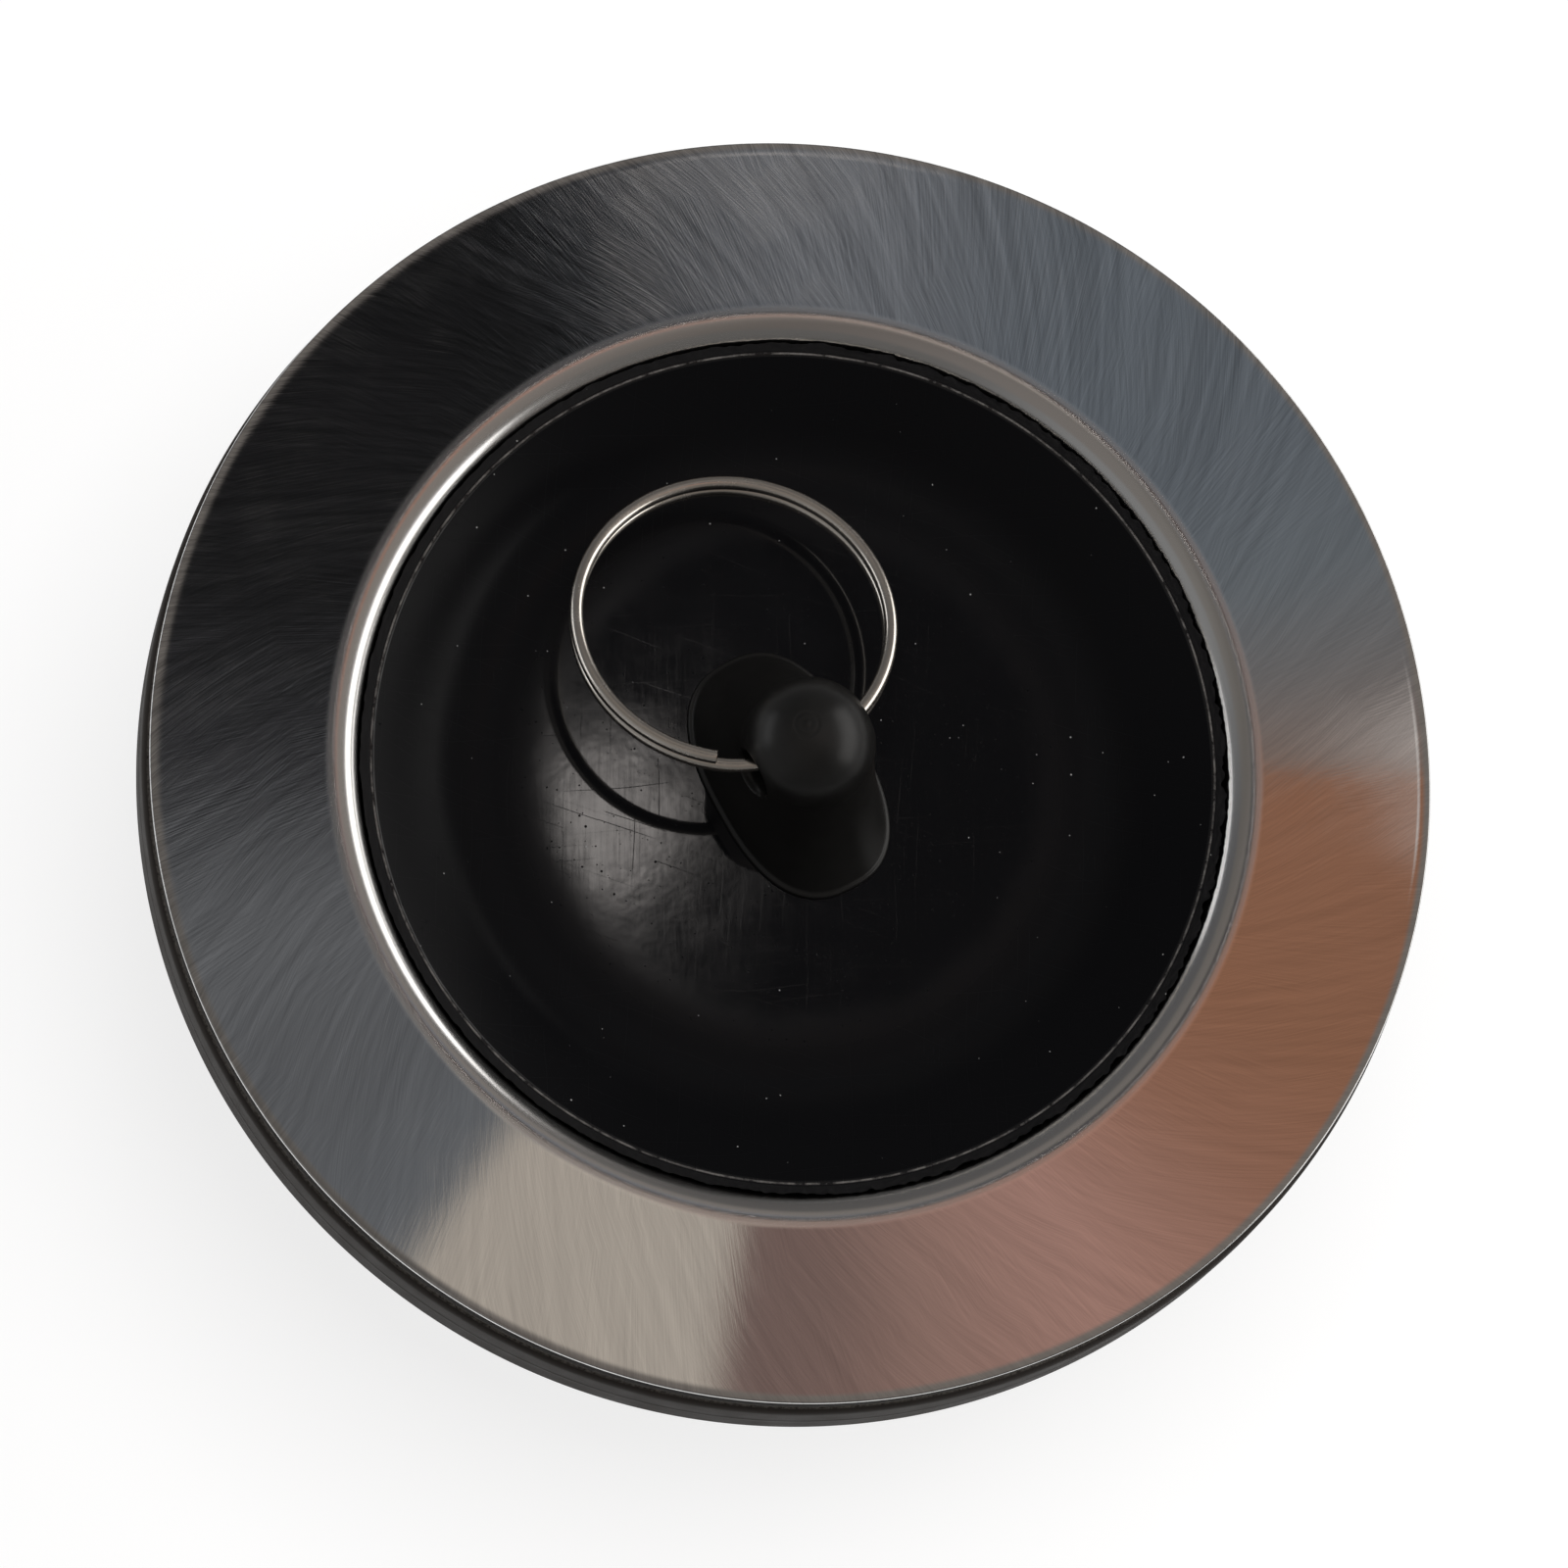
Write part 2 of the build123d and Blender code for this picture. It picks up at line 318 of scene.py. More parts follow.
def plug_section():
    slope = math.tan(math.radians(DISH_TILT))
    ridge_start = 0.3
    rim_edge = 0.02
    flash = 0.2
    hollow_bend = 3.0
    chamfer = 0.6
    foot = SKIRT_R - 0.9
    hollow = foot - 2.85
    points = [(STEM_HOLE_R, DISH_Z)]
    points += line(points[-1], (LANDING_R, DISH_Z), 16)
    points += arc(LANDING_R, DISH_Z + DISH_BEND, DISH_BEND, -90, -90 + DISH_TILT, 24)[1:]
    points += line(points[-1], (RIDGE_R - ridge_start, RIDGE_Z - ridge_start * slope - 0.01), 14)
    points += [(RIDGE_R + out, RIDGE_Z - down) for out, down in RIDGE_FORM]
    points += line(points[-1], (RIM_R, RIM_Z - 0.06), 9)
    points += [(RIM_R + rim_edge, RIM_Z - 0.12), (RIM_R - rim_edge, RIM_Z - flash)]
    points += [(SKIRT_R, RIM_Z - flash - RIM_R + SKIRT_R)]
    points += line(points[-1], (foot, LEDGE_Z + chamfer), 16)
    points += line(points[-1], (foot - chamfer, LEDGE_Z), 3)
    points += line(points[-1], (hollow + chamfer / 2, LEDGE_Z), 4)
    points += line(points[-1], (hollow, LEDGE_Z + chamfer / 2), 2)
    points += line(points[-1], (hollow, HOLLOW_Z - hollow_bend), 8)
    points += arc(hollow - hollow_bend, HOLLOW_Z - hollow_bend, hollow_bend, 0, 90, 10)[1:]
    points += line(points[-1], (STEM_HOLE_R, HOLLOW_Z), 12)
    points += line(points[-1], (STEM_HOLE_R, DISH_Z), 4)[:-1]
    return points


def plug_shift(r, z, angle):
    """Ragged flash on the rim, an uneven ridge and slight waves in the dish."""
    flash_start = RIDGE_R + 0.15
    flash_z = 10.3
    lug_clear = 4.5
    if r > flash_start and z > flash_z:
        photo = angle + math.radians(PHOTO_TURN)
        rough = max(0.3, 0.62 + 0.5 * math.cos(photo))
        reach = min((r - flash_start) / 0.6, 1)
        ragged = 0.7 * ripple(angle, 0.0, 90, 3.0) + 0.7 * ripple(angle, 0.0, 260, 5.0)
        ragged += 0.25 * ripple(angle, r, 900, 8.0)
        r = min(r + reach * (0.14 + 0.48 * rough * ragged), FLASH_LIMIT_R)
        lifted = 0.1 * ripple(angle, r * 3.0, 300, 2.0) + 0.07 * ripple(angle, r * 5.0, 900, 9.0)
        z += reach * rough * lifted
    elif abs(r - RIDGE_R) < 0.2 and z > 10:
        z += 0.025 * ripple(angle, 0.0, 60, 6.0) + 0.02 * ripple(angle, 0.0, 300, 1.0)
    elif z > DISH_Z - 0.5 and lug_clear < r < RIDGE_R:
        z += 0.006 * ripple(angle, r * 0.12, 5, 12.0) * min((r - lug_clear) / 4, 1)
    return r, z


lathe("plug_dish", plug_section(), 1440, "plug", ["rubber_plug"], plug_shift, 30)


# Lug: oval foot, waisted post and dome, with the cross bore cut through it


def oval(along, across, fullness, count):
    """Outline of a section: an ellipse at a fullness of 2, with squarer ends above it."""
    points = []
    for k in range(count):
        c, s = math.cos(2 * math.pi * k / count), math.sin(2 * math.pi * k / count)
        reach = (abs(c) ** fullness + abs(s) ** fullness) ** (-1 / fullness)
        points.append((across * c * reach, along * s * reach))
    return points


def quadratic(t, start, middle, end):
    """Curve through three values at 0, 0.55 and 1."""
    m = 0.55
    return start * (t - m) * (t - 1) / m + middle * t * (t - 1) / (m * (m - 1)) + end * t * (t - m) / (1 - m)


def lug_stations():
    """Heights with the half length, half width and fullness of the lug there."""
    circle = 2
    barb_r, barb_h, barb_edge = 6.95, 3.0, 0.15
    tip_r, tip_edge = 4.6, 0.3
    stem_r = 4.0
    stem = [
        (HOLLOW_Z - barb_h, tip_r - tip_edge),
        (HOLLOW_Z - barb_h + tip_edge, tip_r),
        (HOLLOW_Z - barb_edge, barb_r),
        (HOLLOW_Z, barb_r - barb_edge),
        (HOLLOW_Z, stem_r),
        (DISH_Z, stem_r),
    ]
    stations = [(z, r, r, circle) for z, r in stem]
    foot_l, foot_w, foot_t, full = 11.6, 7.25, 0.6, 2.5
    soft = 0.25
    soft_z = DISH_Z + foot_t - soft
    stations += [(DISH_Z, foot_l, foot_w, full), (soft_z, foot_l, foot_w, full)]
    for k in range(1, 5):
        a = math.pi / 2 * k / 4
        inset = soft - soft * math.cos(a)
        stations.append((soft_z + soft * math.sin(a), foot_l - inset, foot_w - inset, full))
    base = DISH_Z + foot_t
    ledge = 0.4
    post_l, post_w = foot_l - ledge, foot_w - ledge
    waist_l = DOME_R + (post_l - DOME_R) * 0.32
    waist_w = DOME_R + (post_w - DOME_R) * 0.24
    for k in range(41):
        t = k / 40
        along = quadratic(t, post_l, waist_l, DOME_R)
        across = quadratic(t, post_w, waist_w, DOME_R)
        stations.append((base + (DOME_Z - base) * t, along, across, quadratic(t, full, 2.25, circle)))
    for k in range(1, 25):
        a = math.pi / 2 * k / 25
        stations.append((DOME_Z + DOME_R * math.sin(a), DOME_R * math.cos(a), DOME_R * math.cos(a), circle))
    return stations


def build_lug():
    count = 160
    verts = []
    stations = lug_stations()
    for z, along, across, fullness in stations:
        verts += [(x * MM, y * MM, z * MM) for x, y in oval(along, across, fullness, count)]
    faces = sweep_faces(len(stations), count)
    faces.append(tuple(reversed(range(count))))
    top = len(verts)
    verts.append((0, 0, (DOME_Z + DOME_R) * MM))
    last = (len(stations) - 1) * count
    faces += [(last + k, last + (k + 1) % count, top) for k in range(count)]
    return verts, faces


def bore_cutter():
    """Cross bore with its flared mouths, along X."""
    count = 96
    flare, reach = 0.15, 12.0
    edge = math.sqrt(DOME_R**2 - (BORE_R + flare) ** 2)
    profile = [(-reach, BORE_R + flare), (-edge, BORE_R + flare), (-edge + flare, BORE_R)]
    profile += [(edge - flare, BORE_R), (edge, BORE_R + flare), (reach, BORE_R + flare)]
    verts = []
    for x, r in profile:
        for k in range(count):
            a = 2 * math.pi * k / count
            verts.append((x * MM, r * math.cos(a) * MM, (BORE_Z + r * math.sin(a)) * MM))
    faces = sweep_faces(len(profile), count)
    faces.append(tuple(range(count)))
    faces.append(tuple(reversed(range(len(verts) - count, len(verts)))))
    cutter = link_mesh("bore_cutter", verts, faces)
    face_outward(cutter.data)
    return cutter


def apply_modifiers(obj):
    """Replaces an object's mesh by what its modifiers make of it."""
    bpy.context.view_layer.update()
    graph = bpy.context.evaluated_depsgraph_get()
    made = bpy.data.meshes.new_from_object(obj.evaluated_get(graph))
    obj.modifiers.clear()
    old = obj.data
    obj.data = made
    bpy.data.meshes.remove(old)


def gate_height(distance):
    """Height of the gate mark at a distance from its centre, in millimetres."""
    groove = -0.07 * math.exp(-(((distance - 1.05) / 0.13) ** 2))
    nub = 0.10 * math.exp(-((distance / 0.3) ** 4))
    dimple = -0.05 * math.exp(-((distance / 0.8) ** 4))
    return groove + nub + dimple


def press_gate_mark(mesh):
    """Plain gate mark left by the moulding near the top of the dome."""
    gate = Vector((-0.6, 0.85, 5.86)).normalized()
    gate_reach = 2
    for v in mesh.vertices:
        offset = Vector((v.co.x / MM, v.co.y / MM, v.co.z / MM - DOME_Z))
        if offset.z > 3 and offset.length > 5:
            away = offset.normalized()
            distance = (away - gate).length * DOME_R
            if distance < gate_reach:
                v.co += away * gate_height(distance) * MM


def make_lug():
    verts, faces = build_lug()
    lug = add_piece("lug_moulding", verts, faces, "plug", ["pull_lug"])
    face_outward(lug.data)
    cutter = bore_cutter()
    cut = lug.modifiers.new("bore", "BOOLEAN")
    cut.operation = "DIFFERENCE"
    cut.solver = "EXACT"
    cut.object = cutter
    remesh = lug.modifiers.new("even", "REMESH")
    remesh.mode = "VOXEL"
    remesh.voxel_size = 0.14 * MM
    relax = lug.modifiers.new("soft", "SMOOTH")
    relax.factor = 0.5
    relax.iterations = 4
    apply_modifiers(lug)
    bpy.data.objects.remove(cutter)
    press_gate_mark(lug.data)
    for poly in lug.data.polygons:
        poly.use_smooth = True
    lug.data.update()


make_lug()


# Split ring: two turns of flat-sided wire that touch each other


def smooth_step(t):
    return t * t * (3 - 2 * t)


def ring_height(turned, pitch):
    """Height of the wire's centre after it has turned by an angle from its upper end."""
    turn = 360 - CROSSOVER
    if turned < turn:
        return pitch / 2
    if turned > 360:
        return -pitch / 2
    return pitch / 2 - pitch * smooth_step((turned - turn) / CROSSOVER)


def build_ring():
    slope, rock = math.radians(RING_SLOPE), math.radians(RING_ROCK)
    to_bore = Vector((0, -math.cos(slope), math.sin(slope)))
    up = Vector((math.sin(rock), math.sin(slope) * math.cos(rock), math.cos(slope) * math.cos(rock)))
    side = up.cross(to_bore)
    centre = Vector((0, 0, BORE_Z)) - to_bore * RING_TO_BORE + up * RING_SHIFT
    pitch = 2 * WIRE_R + TURN_GAP
    total = 720 - CROSSOVER
    stations, around = 900, 32
    degree = math.radians(1) * RING_R
    # Distance in from the wire's end, and the share of its full section there
    ends = [(0.0, 0.0), (0.0, 0.82), (0.08, 0.98)]
    places = [(inset / degree, scale) for inset, scale in ends]
    places += [(total * k / stations, 1.0) for k in range(1, stations)]
    places += [(total - inset / degree, scale) for inset, scale in reversed(ends)]
    verts = []
    for turned, scale in places:
        angle = math.radians(FREE_END - turned)
        spread = 0.05 * math.sin(math.radians(turned) * 1.5) if turned > 360 else 0.0
        radial = to_bore * math.cos(angle) + side * math.sin(angle)
        middle = centre + radial * (RING_R + spread) + up * ring_height(turned, pitch)
        for j in range(around):
            a = 2 * math.pi * j / around
            c, s = math.cos(a), math.sin(a)
            out = WIRE_R * 0.97 * math.copysign(abs(c) ** 0.92, c)
            high = WIRE_R * math.copysign(abs(s) ** 0.8, s)
            p = middle + radial * out * scale + up * high * scale
            verts.append(tuple(p * MM))
    return verts, sweep_faces(len(places), around)


def make_ring():
    verts, faces = build_ring()
    sharp = 40
    ring = add_piece("ring_wire_coil", verts, faces, "ring", ["split_ring"], sharp)
    face_outward(ring.data, merge=True)
    ring.data.set_sharp_from_angle(angle=math.radians(sharp))


make_ring()


# Material helpers


class Nodes:
    """Short way to write a node tree."""

    def __init__(self, tree):
        self.tree = tree
        self.coords = None

    def add(self, kind, **values):
        node = self.tree.nodes.new(kind)
        for key, value in values.items():
            setattr(node, key, value)
        return node

    def link(self, source, target):
        self.tree.links.new(source, target)

    def put(self, value, socket):
        if hasattr(value, "links"):
            self.link(value, socket)
        else:
            socket.default_value = value

    def math(self, operation, a, b=0.0, clamp=False):
        node = self.add("ShaderNodeMath", operation=operation, use_clamp=clamp)
        for socket, value in zip(node.inputs, (a, b)):
            self.put(value, socket)
        return node.outputs[0]

    def chain(self, operation, values):
        """One operation on two or more values in turn."""
        result = values[0]
        for value in values[1:]:
            result = self.math(operation, result, value)
        return result

    def plus(self, *values):
        return self.chain("ADD", values)

    def times(self, *values):
        return self.chain("MULTIPLY", values)

    def highest(self, *values):
        return self.chain("MAXIMUM", values)

    def minus(self, a, b):
        return self.math("SUBTRACT", a, b)

    def length(self, x, y):
        return self.math("SQRT", self.plus(self.times(x, x), self.times(y, y)))

    def share_of_turn(self, x, y):
        """Direction of a point in its plane, as a share of a turn from 0 to 1."""
        turn = self.math("DIVIDE", self.math("ARCTAN2", y, x), 2 * math.pi)
        return self.math("FRACT", self.plus(turn, 1.0))

    def place(self):
        """Position on the piece in millimetres."""
        if self.coords is None:
            source = self.add("ShaderNodeTexCoord")
            scale = self.add("ShaderNodeVectorMath", operation="SCALE")
            self.link(source.outputs["Object"], scale.inputs[0])
            scale.inputs["Scale"].default_value = 1 / MM
            self.coords = scale.outputs[0]
        return self.coords

    def turned(self, vector, degrees):
        """Vector turned about Z."""
        node = self.add("ShaderNodeVectorRotate", rotation_type="Z_AXIS")
        self.link(vector, node.inputs["Vector"])
        node.inputs["Angle"].default_value = math.radians(degrees)
        return node.outputs[0]

    def split(self, vector):
        node = self.add("ShaderNodeSeparateXYZ")
        self.link(vector, node.inputs[0])
        return node.outputs[0], node.outputs[1], node.outputs[2]

    def join(self, x, y, z):
        node = self.add("ShaderNodeCombineXYZ")
        for socket, value in zip(node.inputs, (x, y, z)):
            self.put(value, socket)
        return node.outputs[0]

    def noise(self, vector, scale, detail=2.0, roughness=0.5):
        node = self.add("ShaderNodeTexNoise", noise_dimensions="3D")
        self.link(vector, node.inputs["Vector"])
        node.inputs["Scale"].default_value = scale
        node.inputs["Detail"].default_value = detail
        node.inputs["Roughness"].default_value = roughness
        return node.outputs["Fac"]

    def cells(self, vector, scale, dimensions):
        """Voronoi cells: the node and a random value that each cell has."""
        node = self.add("ShaderNodeTexVoronoi", feature="F1", voronoi_dimensions=dimensions)
        self.link(vector, node.inputs["Vector"])
        node.inputs["Scale"].default_value = scale
        tone = self.add("ShaderNodeSeparateColor")
        self.link(node.outputs["Color"], tone.inputs[0])
        return node, tone.outputs[0]

    def range(self, value, low, high, to_low=0.0, to_high=1.0, smooth=False):
        node = self.add("ShaderNodeMapRange", interpolation_type="SMOOTHSTEP" if smooth else "LINEAR")
        self.put(value, node.inputs["Value"])
        for key, number in zip(("From Min", "From Max", "To Min", "To Max"), (low, high, to_low, to_high)):
            node.inputs[key].default_value = number
        return node.outputs["Result"]

    def ramp(self, value, stops):
        node = self.add("ShaderNodeValToRGB")
        self.put(value, node.inputs["Fac"])
        elements = node.color_ramp.elements
        while len(elements) < len(stops):
            elements.new(0.5)
        for element, (position, colour) in zip(elements, stops):
            element.position = position
            element.color = (*colour, 1.0)
        return node.outputs["Color"]

    def mix(self, factor, a, b):
        node = self.add("ShaderNodeMix", data_type="RGBA")
        self.put(factor, node.inputs[0])
        for socket, value in ((node.inputs[6], a), (node.inputs[7], b)):
            self.put(value if hasattr(value, "links") else (*value, 1.0), socket)
        return node.outputs[2]

    def specks(self, scale, keep, size, seed):
        """Scattered round specks, 1 inside and 0 outside: a share of the cells holds one, of random size."""
        shifted = self.add("ShaderNodeVectorMath", operation="ADD")
        self.link(self.place(), shifted.inputs[0])
        shifted.inputs[1].default_value = (seed, seed * 1.7, seed * 0.3)
        node, tone = self.cells(shifted.outputs[0], scale, "3D")
        chance = self.range(tone, 1.0 - keep, 1.0, 0.0, size)
        edge = self.minus(chance, node.outputs["Distance"])
        return self.range(edge, 0.0, size * 0.35)

    def stretched(self, turn, scale, along):
        """Noise drawn out into lines along a direction, in degrees."""
        x, y, z = self.split(self.turned(self.place(), -turn))
        return self.noise(self.join(self.times(x, along), y, z), scale, 3.0, 0.65)

    def scratches(self, turn, scale, seed):
        """Sparse thin lines that run one way, each a few millimetres long: 1 on a line and 0 off it."""
        x, y, _ = self.split(self.turned(self.place(), turn))
        bend = self.times(self.noise(self.place(), 0.06, 1.0), 2.5)
        across = self.plus(x, bend, seed * 3.1)
        node, tone = self.cells(self.join(across, self.times(y, 0.13), seed), scale, "2D")
        middle, _, _ = self.split(node.outputs["Position"])
        offset = self.math("ABSOLUTE", self.minus(across, middle))
        stroke = self.range(offset, 0.012, 0.04, 1.0, 0.0)
        kept = self.range(tone, 0.6, 0.95)
        tapered = self.range(node.outputs["Distance"], 0.25, 0.6, 1.0, 0.0)
        return self.times(stroke, kept, tapered)

    def bump(self, height, distance):
        node = self.add("ShaderNodeBump")
        node.inputs["Distance"].default_value = distance
        self.link(height, node.inputs["Height"])
        return node.outputs["Normal"]


class Finish(Nodes):
    """Material of a piece, on its principled shader."""

    SOCKETS = {
        "colour": "Base Color",
        "metallic": "Metallic",
        "roughness": "Roughness",
        "normal": "Normal",
        "specular": "Specular IOR Level",
    }

    def __init__(self, name):
        self.material = bpy.data.materials.new(name)
        self.material.use_nodes = True
        super().__init__(self.material.node_tree)
        self.shader = self.tree.nodes["Principled BSDF"]

    def set(self, **values):
        for key, value in values.items():
            self.put(value, self.shader.inputs[self.SOCKETS[key]])

    def apply(self, obj):
        obj.data.materials.clear()
        obj.data.materials.append(self.material)


def radius_of(m):
    x, y, _ = m.split(m.place())
    return m.length(x, y)


def spiral_streaks(m, lean, scale, along, seed):
    """Fine lines that cross the annulus at an angle to the radius."""
    middle_r = 49.0
    x, y, z = m.split(m.place())
    radius = m.length(x, y)
    winding = m.math("LOGARITHM", m.math("DIVIDE", radius, middle_r), math.e)
    turn = m.times(winding, -math.tan(math.radians(lean)))
    angle = m.plus(m.math("ARCTAN2", y, x), turn)
    px = m.times(m.math("COSINE", angle), middle_r)
    py = m.times(m.math("SINE", angle), middle_r)
    pz = m.plus(m.times(m.plus(radius, z), along), seed)
    return m.noise(m.join(px, py, pz), scale, 3.0, 0.6)


# Direction, in the plane of the flange, of its less scratched side
SMOOTH_SIDE = (0.035, -0.999)


def steel_material():
    """Flange lapped on its flat face, with a smooth rolled lip and a dull drawn neck and spigot."""
    m = Finish("lapped_stainless")
    lip_r = NECK_R + LIP_ROLL
    contrast = 0.14
    lapped = m.range(radius_of(m), lip_r + 0.25, lip_r + 0.9, smooth=True)
    unlapped = m.minus(1.0, lapped)
    fine = spiral_streaks(m, 42, 8.0, 0.014, 0.0)
    cross = spiral_streaks(m, 16, 7.0, 0.016, 31.0)
    broad = spiral_streaks(m, 32, 1.3, 0.04, 77.0)
    share = m.range(m.noise(m.place(), 0.09), 0.42, 0.58, smooth=True)
    lines = m.plus(m.times(fine, m.minus(1.0, share)), m.times(cross, share))
    mixed = m.plus(m.times(lines, 0.55), m.times(broad, 0.45))
    x, y, z = m.split(m.place())
    side = m.plus(m.times(x, SMOOTH_SIDE[0]), m.times(y, SMOOTH_SIDE[1]))
    worn = m.range(side, -20.0, 16.0, 1.0, 0.38, smooth=True)
    mixed = m.times(m.minus(mixed, 0.5), worn, lapped)
    tone = m.range(mixed, -contrast, contrast)
    tone = m.math("ADD", tone, m.times(unlapped, 0.75), clamp=True)
    colour = m.mix(tone, (0.43, 0.428, 0.425), (0.8, 0.794, 0.785))
    drawn = m.range(z, LEDGE_Z, 2.0, 1.0, 0.0, smooth=True)
    colour = m.mix(drawn, colour, (0.34, 0.337, 0.333))
    haze = m.noise(m.place(), 0.22, 3.0, 0.6)
    rough = m.plus(m.range(mixed, -contrast, contrast, 0.05, 0.075), m.range(haze, 0.45, 0.7, 0.0, 0.03))
    rough = m.times(rough, m.plus(m.times(worn, 0.75), 0.25))
    rough = m.plus(m.times(rough, lapped), m.times(unlapped, 0.2), m.times(drawn, 0.14))
    grain = m.noise(m.place(), 6.0, 3.0, 0.6)
    height = m.plus(m.times(mixed, worn), m.times(grain, lapped, 0.03))
    m.set(colour=colour, metallic=1.0, roughness=rough, normal=m.bump(height, 6e-6))
    return m


def gasket_material():
    """Black rubber with pale dust along its lower edge."""
    m = Finish("gasket_rubber_dusty")
    _, _, z = m.split(m.place())
    dust = m.noise(m.place(), 3.2, 4.0, 0.7)
    low = m.range(z, SEAT_TOP + 0.15, SEAT_TOP + 1.0, 1.0, 0.0)
    share = m.times(m.range(dust, 0.34, 0.62), m.plus(m.times(low, 0.9), 0.1))
    colour = m.mix(share, (0.009, 0.0085, 0.008), (0.17, 0.155, 0.14))
    rough = m.range(dust, 0.3, 0.7, 0.7, 0.9)
    m.set(colour=colour, roughness=rough, normal=m.bump(dust, 6e-5), specular=0.2)
    return m


def seat_material():
    """Dull brownish black rubber, with dust on the narrow ledge outside the gasket."""
    m = Finish("seat_rubber_satin")
    cloud = m.noise(m.place(), 0.35, 3.0, 0.6)
    grain = m.noise(m.place(), 9.0, 2.0, 0.6)
    colour = m.mix(cloud, (0.02, 0.0165, 0.0145), (0.04, 0.034, 0.03))
    _, _, z = m.split(m.place())
    dust = m.noise(m.place(), 3.0, 4.0, 0.7)
    top = m.range(z, SEAT_TOP - 0.12, SEAT_TOP - 0.03)
    ledge = m.times(top, m.range(radius_of(m), GASKET_R + 0.12, GASKET_R + 0.42, 1.0, 0.0))
    share = m.times(m.range(dust, 0.36, 0.62), ledge)
    colour = m.mix(share, colour, (0.2, 0.185, 0.165))
    rough = m.plus(m.range(cloud, 0.3, 0.7, 0.62, 0.74), m.range(grain, 0.3, 0.7, -0.04, 0.04))
    m.set(colour=colour, roughness=rough, normal=m.bump(grain, 1.2e-5), specular=0.22)
    return m


def plug_material():
    """Glossy black rubber with dust, fine scratches and pits, and a pale line on the ridge that is partly
    wear and partly painted highlight; dull on its rise and on the trimmed rim.
    """
    m = Finish("plug_rubber_gloss")
    radius = radius_of(m)
    _, _, z = m.split(m.place())
    rise = m.range(radius, LANDING_R - 7.0, LANDING_R - 0.5, smooth=True)
    raised = m.range(z, RIM_Z - 0.7, RIM_Z - 0.45)
    rim = m.times(m.range(radius, RIDGE_R + 0.1, RIDGE_R + 0.25), raised)
    dust = m.highest(m.specks(0.62, 0.55, 0.062, 3.0), m.specks(1.1, 0.07, 0.1, 11.0))
    haze = m.noise(m.place(), 0.24, 3.0, 0.6)
    scratch = m.highest(m.scratches(31, 1.0, 5.0), m.scratches(-42, 1.1, 11.0), m.scratches(-66, 0.8, 17.0))
    pits = m.highest(m.specks(1.5, 0.4, 0.2, 23.0), m.specks(3.0, 0.3, 0.22, 29.0))
    from_ridge = m.math("ABSOLUTE", m.minus(radius, RIDGE_R))
    broken = m.range(m.noise(m.place(), 0.9, 3.0, 0.6), 0.36, 0.6)
    # Pale broken line along the ridge: partly rubbed wear, partly a painted highlight of the ridge's rounded
    # top
    ridge_wear_and_highlight = m.times(m.range(from_ridge, 0.03, 0.12, 1.0, 0.0), broken, raised)
    colour = m.mix(m.times(dust, 0.8), (0.0042, 0.0042, 0.0048), (0.45, 0.45, 0.45))
    # The ridge line's pale colour, partly wear and partly painted highlight
    colour = m.mix(ridge_wear_and_highlight, colour, (0.12, 0.112, 0.105))
    gloss = m.range(haze, 0.35, 0.65, 0.035, 0.06)
    brushed = m.range(m.stretched(62, 6.0, 0.04), 0.4, 0.7, 0.0, 0.022)
    rough = m.plus(gloss, m.times(scratch, 0.08), brushed, m.times(rise, 0.2))
    rough = m.highest(rough, m.times(m.highest(dust, pits), 0.6), m.times(rim, 0.5))
    cut = m.noise(m.place(), 4.0, 3.0, 0.65)
    marks = m.times(m.plus(pits, scratch), -0.02)
    height = m.plus(m.times(haze, 0.24), marks, m.times(cut, rim, 3.0))
    inside = m.range(radius, RIDGE_R - 0.32, RIDGE_R - 0.22)
    ridge = m.times(inside, m.range(radius, RIDGE_R + 0.1, RIDGE_R + 0.2, 1.0, 0.0))
    shine = m.times(m.range(rise, 0.0, 1.0, 0.5, 0.08), m.range(pits, 0.0, 1.0, 1.0, 0.2))
    shine = m.highest(shine, m.times(ridge, 0.5), m.times(rim, 0.25))
    m.set(colour=colour, roughness=rough, normal=m.bump(height, 1.4e-5), specular=shine)
    return m


def lug_material():
    """Black moulding with a soft sheen and a few dust specks."""
    m = Finish("lug_satin_black")
    cloud = m.noise(m.place(), 0.5, 3.0, 0.55)
    grain = m.noise(m.place(), 14.0, 2.0, 0.6)
    dust = m.specks(0.9, 0.10, 0.06, 5.0)
    colour = m.mix(cloud, (0.0066, 0.0064, 0.0062), (0.0108, 0.0104, 0.01))
    colour = m.mix(m.times(dust, 0.7), colour, (0.35, 0.35, 0.34))
    rough = m.plus(m.range(cloud, 0.3, 0.7, 0.3, 0.36), m.range(grain, 0.3, 0.7, -0.03, 0.03))
    m.set(colour=colour, roughness=rough, normal=m.bump(grain, 4e-6), specular=0.36)
    return m


def wire_material():
    """Warm plated wire with a slightly uneven polish."""
    m = Finish("ring_nickel_wire")
    cloud = m.noise(m.place(), 0.6, 3.0, 0.6)
    grain = m.noise(m.place(), 11.0, 3.0, 0.6)
    colour = m.mix(cloud, (0.78, 0.72, 0.65), (0.88, 0.84, 0.78))
    rough = m.plus(m.range(cloud, 0.3, 0.7, 0.2, 0.27), m.range(grain, 0.3, 0.7, -0.03, 0.03))
    m.set(colour=colour, metallic=1.0, roughness=rough, normal=m.bump(grain, 5e-7))
    return m


finishes = {
    "flange_pressing": steel_material,
    "gasket_sheet": gasket_material,
    "seat_rubber_ring": seat_material,
    "plug_dish": plug_material,
    "lug_moulding": lug_material,
    "ring_wire_coil": wire_material,
}
for piece, make in finishes.items():
    make().apply(bpy.data.objects[piece])

# Camera at the photograph's viewing angle


